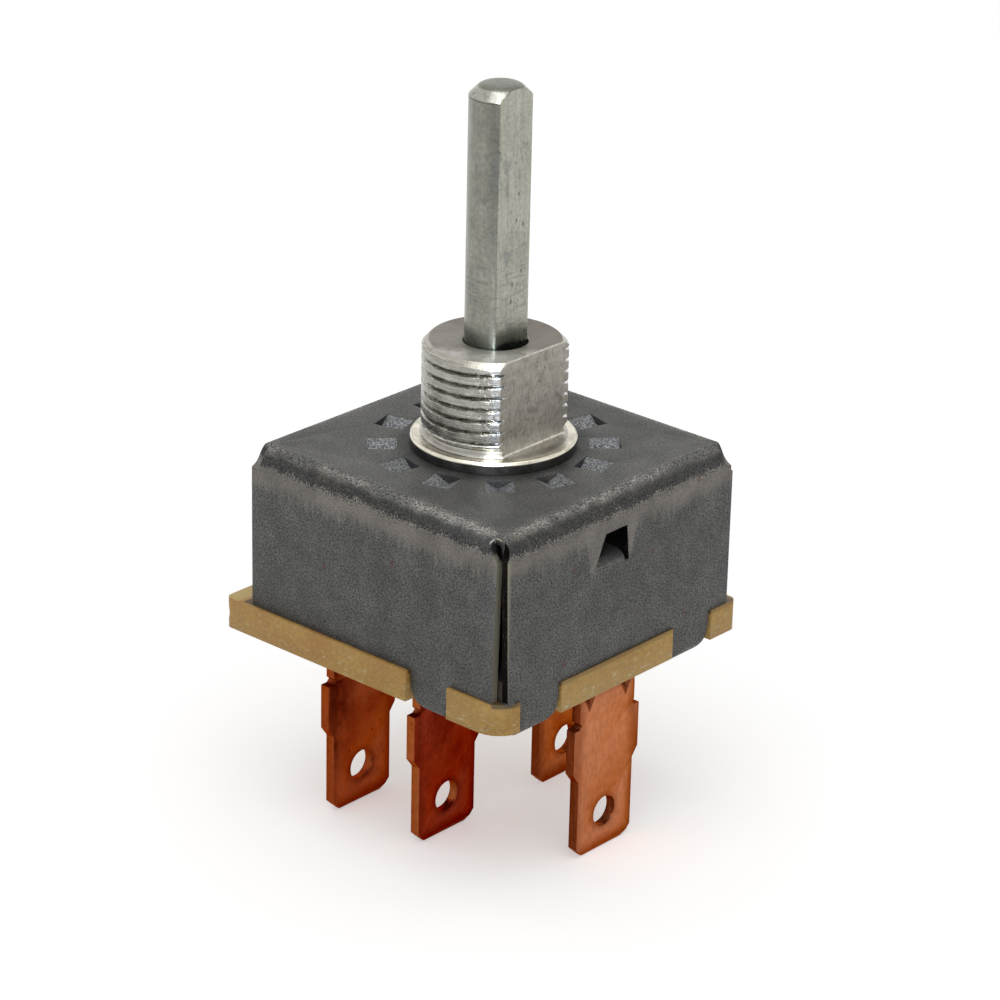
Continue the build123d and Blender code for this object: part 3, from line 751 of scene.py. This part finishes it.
around = bushing_angles()
radius, height = bushing_rows(around)
bushing = turned("threaded_bushing", radius, height, around, bushing_cut(height), 0.03 * mm)
bushing.data.materials.append(bushing_finish())
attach(bushing, "case")
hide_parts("bushing")


# Shaft: zinc plated steel rod with one long flat, a bevelled tip, a ring groove and a pivot that
# runs in the base. The plating is satin with fine draw marks and a few dark pits.
shaft_radius = 2.381
shaft_flat = 1.58
shaft_top = 58.46
shaft_tip = 57.56
pivot_radius = 1.5
pivot_low, pivot_high = 17.1, 19.2
groove_radius = 1.75
groove_low, groove_high = 27.5, 28.1
bevel_rows = 20
shaft_profile = [
    (0, pivot_low), (pivot_radius, pivot_low), (pivot_radius, pivot_high), (2.38, pivot_high),
    (shaft_radius, groove_low - 0.1), (shaft_radius, groove_low),
    (groove_radius, groove_low), (groove_radius, groove_high), (shaft_radius, groove_high),
    *((shaft_radius, level) for level in (34.0, 40.0, 46.0, 52.0, 57.0, shaft_tip - 0.06)),
    (2.378, shaft_tip - 0.02), (2.355, shaft_tip + 0.02),
    *zip(np.linspace(2.33, 1.80, bevel_rows),
         np.linspace(shaft_tip + 0.05, shaft_top - 0.32, bevel_rows)),
    (1.72, shaft_top - 0.25), (1.64, shaft_top - 0.18), (1.60, shaft_top - 0.16),
    (1.56, shaft_top - 0.14), (1.52, shaft_top - 0.12), (1.48, shaft_top - 0.10),
    (1.30, shaft_top - 0.05), (1.0, shaft_top - 0.01), (0.6, shaft_top), (0, shaft_top),
]


def shaft_finish():
    """Satin zinc plate with painted reflection and shade: paler flat, dark band beside it, bright bevel,
    grey crown, dark foot; marks, pits.
    """
    finish, tree, shader = new_finish(
        "zinc_plate", Metallic=1.0, Anisotropic=0.5, Anisotropic_Rotation=0.25)
    where = place_mm(tree)
    spot = split(tree, where)
    cloud = noise(tree, where, 0.35, 4.0, 0.6)
    fine = noise(tree, where, 3.2, 3.0, 0.65)
    draw = noise(tree, place_mm(tree, (5, 5, 0.2)), 1.0, 2.0, 0.6)
    blots = noise(tree, place_mm(tree, (1, 1, 0.45)), 0.9, 4.0, 0.65)
    marks = noise(tree, place_mm(tree, (0.6, 0.6, 5)), 1.0, 3.0, 0.6)

    # The round side, and the flat painted paler as a painted reflection, with a dark band and a dark line
    # beside the flat's edge as painted reflection and shade
    patches = rise(tree, cloud, 0.3, 0.7)
    colour = mixed(tree, patches, ink(130, 129, 120), ink(152, 151, 142))
    on_flat = rise(tree, spot[0], shaft_flat - 0.08, shaft_flat - 0.02)
    on_round = rest_of(tree, on_flat)
    flat_reflection_tone = mixed(tree, patches, ink(158, 158, 146), ink(176, 175, 163))
    colour = mixed(tree, on_flat, colour, flat_reflection_tone)
    upper = rise(tree, spot[2], 42.0, 50.0, 0.1, 1.0)
    dark_reflection_band = times(tree, rise(tree, spot[0], 0.45, 1.40), on_round, upper)
    colour = painted(tree, colour, dark_reflection_band, (98, 98, 92), 0.75)
    edge_shade_line = band(tree, spot[0], (1.46, 1.52), (1.568, 1.576))
    colour = painted(tree, colour, edge_shade_line, (84, 82, 74), 0.45)
    lower = fall(tree, spot[2], 44.0, 48.0, 0.5, 0.1)
    low_marks = times(tree, rise(tree, marks, 0.48, 0.66), lower)
    colour = painted(tree, colour, low_marks, (116, 115, 106))

    # A painted highlight on the bevel with a painted dark line under it, the crown greyed and the foot
    # darkened as painted reflection and shade
    bevel_highlight = times(tree, band(tree, spot[2], (shaft_tip - 0.05, shaft_tip + 0.05),
                             (shaft_top - 0.30, shaft_top - 0.18)), on_round)
    colour = painted(tree, colour, bevel_highlight, (168, 168, 158))
    under_bevel_shade = times(tree, band(tree, spot[2], (shaft_tip - 0.14, shaft_tip - 0.08),
                             (shaft_tip - 0.04, shaft_tip + 0.01)), on_round)
    colour = painted(tree, colour, under_bevel_shade, (62, 62, 56), 0.6)
    crown_shade = rise(tree, spot[2], shaft_top - 0.26, shaft_top - 0.16)
    colour = painted(tree, colour, crown_shade, (120, 120, 110), 0.9)
    foot_painted_light = fall(tree, spot[2], barrel_top + 0.1, barrel_top + 1.9)
    colour = painted(tree, colour, foot_painted_light, (78, 94, 92), 0.6)

    # Draw marks, bluish blots, fine grain and pits
    colour = painted(tree, colour, rise(tree, draw, 0.35, 0.7, 0.0, 0.3), (112, 112, 102))
    colour = painted(tree, colour, rise(tree, blots, 0.52, 0.66, 0.0, 0.45), (108, 109, 112))
    colour = shaded(tree, colour, rise(tree, fine, 0.3, 0.7, 0.86, 1.12))
    pit = use(tree, scattered_pits, Scale=1.1, Size=0.13, Rarity=0.72)["Mask"]
    colour = painted(tree, colour, pit, (66, 68, 62), 0.6)
    height = calc(tree, "SUBTRACT", calc(tree, "ADD", draw, fine), pit)
    connect(tree, shader, colour, rise(tree, cloud, 0.3, 0.7, 0.22, 0.34), None, height, 0.014, 0.6)
    return finish


def shaft_angles():
    """Angles around the shaft, close together where the flat's two edges lie."""
    edge, reach = np.arccos(shaft_flat / shaft_radius), 0.10
    on_flat = np.linspace(0, edge - reach, 56)[:-1]
    near = np.linspace(edge - reach, edge + reach, 22)
    rest = np.linspace(edge + reach, pi, 60)[1:]
    return whole_turn(np.concatenate([on_flat, near, rest]))


around = shaft_angles()
radius, height = all_round(shaft_profile, around)
shaft = turned("d_shaft", radius * mm, height * mm, around, shaft_flat * mm, 0.04 * mm)
shaft.data.materials.append(shaft_finish())
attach(shaft, "spindle")
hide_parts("shaft")


# Blades: four terminals stamped from bare copper strip, with rounded edges, a cross hole for the
# connector's catch and two stiffening darts in the fold. Handling has stained them.
hole_height = 3.1
hole_radius = 1.25
blade_half = 3.1
dart_offset = 2.1
dart_tip = 12.2

# Each blade's middle in Y, its light and deep stains, and its sheared edge. The tones carry painted light
# and shade too: the left blades' faces are darker as painted shade, and each sheared edge's tone follows
# how light falls on it
blade_tones_and_shading = {
    "front": (-0.2, (184, 118, 82), (172, 110, 78), (104, 44, 18)),
    "left_near": (-6.8, (148, 52, 30), (118, 30, 18), (150, 80, 42)),
    "left_far": (-7.55, (166, 80, 44), (140, 56, 28), (134, 62, 30)),
    "right": (6.9, (170, 92, 50), (144, 70, 36), (118, 50, 20)),
}


def browned_rim(tree, across, height, cloud):
    """Mask that is strongest along a blade's rim and tip and around its hole."""
    drop = calc(tree, "SUBTRACT", height, hole_height)
    squares = calc(tree, "ADD", times(tree, across, across), times(tree, drop, drop))
    ring = calc(tree, "SQRT", squares)
    blur = drift(tree, cloud, 1.6)
    side = calc(tree, "ADD", calc(tree, "ABSOLUTE", across), blur)
    return largest(
        tree, rise(tree, side, blade_half - 0.8, blade_half + 0.2, 0.0, 0.55),
        fall(tree, calc(tree, "SUBTRACT", height, blur), 0.2, 1.5, 0.6),
        fall(tree, ring, hole_radius - 0.05, hole_radius + 0.65, 0.5),
    )


def dart_hollows(tree, across, height):
    """Mask of the two darts: wedges that widen upwards from their tips."""
    side = calc(tree, "ABSOLUTE", across)
    apart = calc(tree, "ABSOLUTE", calc(tree, "SUBTRACT", side, dart_offset))
    reach = times(tree, calc(tree, "SUBTRACT", height, dart_tip), 0.55)
    return fall(tree, calc(tree, "SUBTRACT", apart, reach), -0.10, 0.02)


def copper_finish(name, light, deep, sheared, middle=None, darts=False):
    """Bare copper: stains from a light to a deep tone, darker near the base as painted shade, and a cut
    edge's tone.

    A blade, whose middle is given, is browned along its rim and around its hole. Where the darts are seen,
    their hollows are darkened as painted shade, and the fold between them is dull.
    """
    finish, tree, shader = new_finish(name, Metallic=1.0, Specular_Tint=ink(230, 165, 130))
    spot = split(tree, place_mm(tree))
    height = spot[2]
    grain = use(tree, skin_grain, Fine=2.6, Broad=0.30)
    roll = noise(tree, place_mm(tree, (6, 6, 0.5)), 1.0, 2.0, 0.6)
    stain = rise(tree, grain["Broad"], 0.25, 0.65)
    # Painted shade: the stains kept deeper near the base
    share = times(tree, stain, rest_of(tree, rise(tree, height, 10.5, 13.8, 0.0, 0.6)))
    colour = mixed(tree, share, ink(*deep), ink(*light))
    on_edge = rise(tree, calc(tree, "ABSOLUTE", facing(tree)[1]), 0.6, 0.85)
    colour = painted(tree, colour, on_edge, sheared)
    colour = painted(tree, colour, rise(tree, roll, 0.35, 0.75, 0.0, 0.14), deep)
    colour = shaded(tree, colour, rise(tree, grain["Fine"], 0.3, 0.7, 0.86, 1.12))
    spots = use(tree, scattered_pits, Scale=1.1, Size=0.12, Rarity=0.66)["Mask"]
    colour = painted(tree, colour, spots, (58, 24, 14), 0.5)
    scratched = use(tree, thin_scratches, Along=0.5, Across=1.8, Width=0.005, Turn=0.9)["Mask"]
    colour = painted(tree, colour, scratched, (206, 150, 112), 0.18)
    if middle is not None:
        across = calc(tree, "SUBTRACT", spot[1], middle)
        brown = (0.66 * deep[0], 0.46 * deep[1], 0.36 * deep[2])
        rim = browned_rim(tree, across, height, grain["Broad"])
        colour = painted(tree, colour, times(tree, rim, rest_of(tree, on_edge)), brown)
    if darts:
        # Painted shade in the darts' hollows
        colour = painted(tree, colour, dart_hollows(tree, across, height), (92, 38, 20), 0.8)
        fold = times(tree, rise(tree, height, 13.0, 13.3), rise(tree, grain["Fine"], 0.4, 0.6))
        colour = painted(tree, colour, fold, (128, 70, 44), 0.5)
    rough = rise(tree, grain["Fine"], 0.2, 0.8, 0.26, 0.42)
    connect(tree, shader, colour, rough, None, calc(tree, "ADD", roll, grain["Fine"]), 0.02, 0.6)
    return finish


for place, (middle, *tones) in blade_tones_and_shading.items():
    blade = soften(welded_copy(f"terminal_{place}", f"blade_{place}"), 0.10 * mm)
    blade.data.materials.append(copper_finish(f"copper_{place}", *tones, middle, place == "front"))
    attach(blade, "case")
    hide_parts(f"terminal_{place}")


# Works inside: a dark moulded rotor that holds the detent balls and springs and carries the
# contactor. Contactor and rivets are copper, washer, ring and balls plated, springs bare steel.
def plain_finish(name, colour, metal, low, high):
    """One colour with a fine and a broad grain, and a roughness between two limits."""
    finish, tree, shader = new_finish(name, Metallic=metal)
    grain = use(tree, skin_grain, Fine=2.5, Broad=0.5)
    tone = shaded(tree, ink(*colour), rise(tree, grain["Broad"], 0.3, 0.7, 0.82, 1.15))
    rough = rise(tree, grain["Fine"], 0.2, 0.8, low, high)
    connect(tree, shader, tone, rough, None, grain["Fine"], 0.02, 0.4)
    return finish


works = [
    (plain_finish("dark_moulding", (74, 74, 52), 0.0, 0.4, 0.6), ["rotor"]),
    (plain_finish("plated_parts", (176, 176, 168), 1.0, 0.22, 0.36),
     ["thrust_washer", "retaining_ring", "detent_ball_1", "detent_ball_2"]),
    (plain_finish("spring_wire", (132, 132, 130), 1.0, 0.25, 0.4),
     ["contact_spring", "detent_spring_1", "detent_spring_2"]),
    (copper_finish("copper_inside", (186, 112, 74), (140, 74, 44), (150, 80, 48)),
     ["contactor", *(f"rivet_{place}" for place in blade_tones_and_shading)]),
]
for finish, names in works:
    for name in names:
        nodes[name].data.materials.clear()
        nodes[name].data.materials.append(finish)


# Studio: a plain white table and white surroundings, a soft lamp overhead, and a tall narrow one
# that only shiny faces show, for the streak down the turned metal.
floor_size = 3.0
floor_glow = 0.40
room_light = 0.55
lamp_aim = Vector((0, 0, 0.02))
camera_aim = Vector((0, 0, 0.0169))
white = (1, 1, 1, 1)
corners = [(-1, -1), (1, -1), (1, 1), (-1, 1)]
table = bpy.data.meshes.new("table")
table.from_pydata([(x * floor_size, y * floor_size, 0) for x, y in corners], [], [(0, 1, 2, 3)])
floor = bpy.data.objects.new("table", table)
bpy.context.collection.objects.link(floor)
finish, tree, shader = new_finish("white_table", Roughness=0.9)
shader.inputs["Base Color"].default_value = (0.86, 0.86, 0.86, 1)
shader.inputs["Specular IOR Level"].default_value = 0.0
rays = add(tree, "ShaderNodeLightPath").outputs
seen = largest(tree, rays["Is Camera Ray"], rays["Is Glossy Ray"])
glow = add(tree, "ShaderNodeEmission", {"Color": white, "Strength": times(tree, seen, floor_glow)})
both = add(tree, "ShaderNodeAddShader", {0: shader.outputs[0], 1: glow.outputs[0]})
tree.links.new(both.outputs[0], tree.nodes["Material Output"].inputs["Surface"])
table.materials.append(finish)

world = bpy.data.worlds.new("white_room")
bpy.context.scene.world = world
world.use_nodes = True
tree = world.node_tree
rays = add(tree, "ShaderNodeLightPath").outputs
clear = largest(tree, rays["Is Camera Ray"], rays["Is Glossy Ray"], rays["Is Transmission Ray"])
background = tree.nodes["Background"]
background.inputs["Color"].default_value = white
strength = add(tree, "ShaderNodeMapRange", {0: clear, 3: room_light, 4: 1.0}).outputs[0]
tree.links.new(strength, background.inputs["Strength"])


def lamp(name, azimuth, elevation, distance, size, power, tint=(1, 1, 1), diffuse=True):
    """A soft lamp panel that looks at the switch, and lights all surfaces or only shiny ones."""
    light = bpy.data.lights.new(name, "AREA")
    light.shape = "RECTANGLE"
    light.size, light.size_y = size
    light.energy = power
    light.color = tint
    panel = bpy.data.objects.new(name, light)
    side, high = radians(azimuth), radians(elevation)
    away = Vector((cos(side) * cos(high), sin(side) * cos(high), sin(high)))
    panel.location = away * distance + lamp_aim
    panel.rotation_euler = away.to_track_quat("Z", "Y").to_euler()
    panel.visible_diffuse = diffuse
    bpy.context.collection.objects.link(panel)


lamp("overhead", -60, 78, 0.6, (0.5, 0.5), 1.0)
lamp("streak", -52, 38, 0.6, (0.03, 0.36), 5.0, (0.88, 0.94, 1.0), diffuse=False)

# The camera looks down from the corner between the window wall and the plain wall.
azimuth, elevation, roll = radians(41.316), radians(23.307), radians(1.295)
back = Vector((sin(azimuth) * cos(elevation), -cos(azimuth) * cos(elevation), sin(elevation)))
right = Vector((cos(azimuth), sin(azimuth), 0))
upward = back.cross(right)
right, upward = right * cos(roll) + upward * sin(roll), upward * cos(roll) - right * sin(roll)
distance, shift_right, shift_up = 0.29556, 0.000774, 0.007675
view = bpy.data.cameras.new("camera")
view.lens = 137.7
view.sensor_width = 36.0
view.clip_start = 0.01
camera = bpy.data.objects.new("camera", view)
camera.matrix_world = Matrix((right, upward, back)).transposed().to_4x4()
camera.location = camera_aim + back * distance + right * shift_right + upward * shift_up
bpy.context.collection.objects.link(camera)
bpy.context.scene.camera = camera
bpy.context.scene.view_settings.view_transform = "Standard"
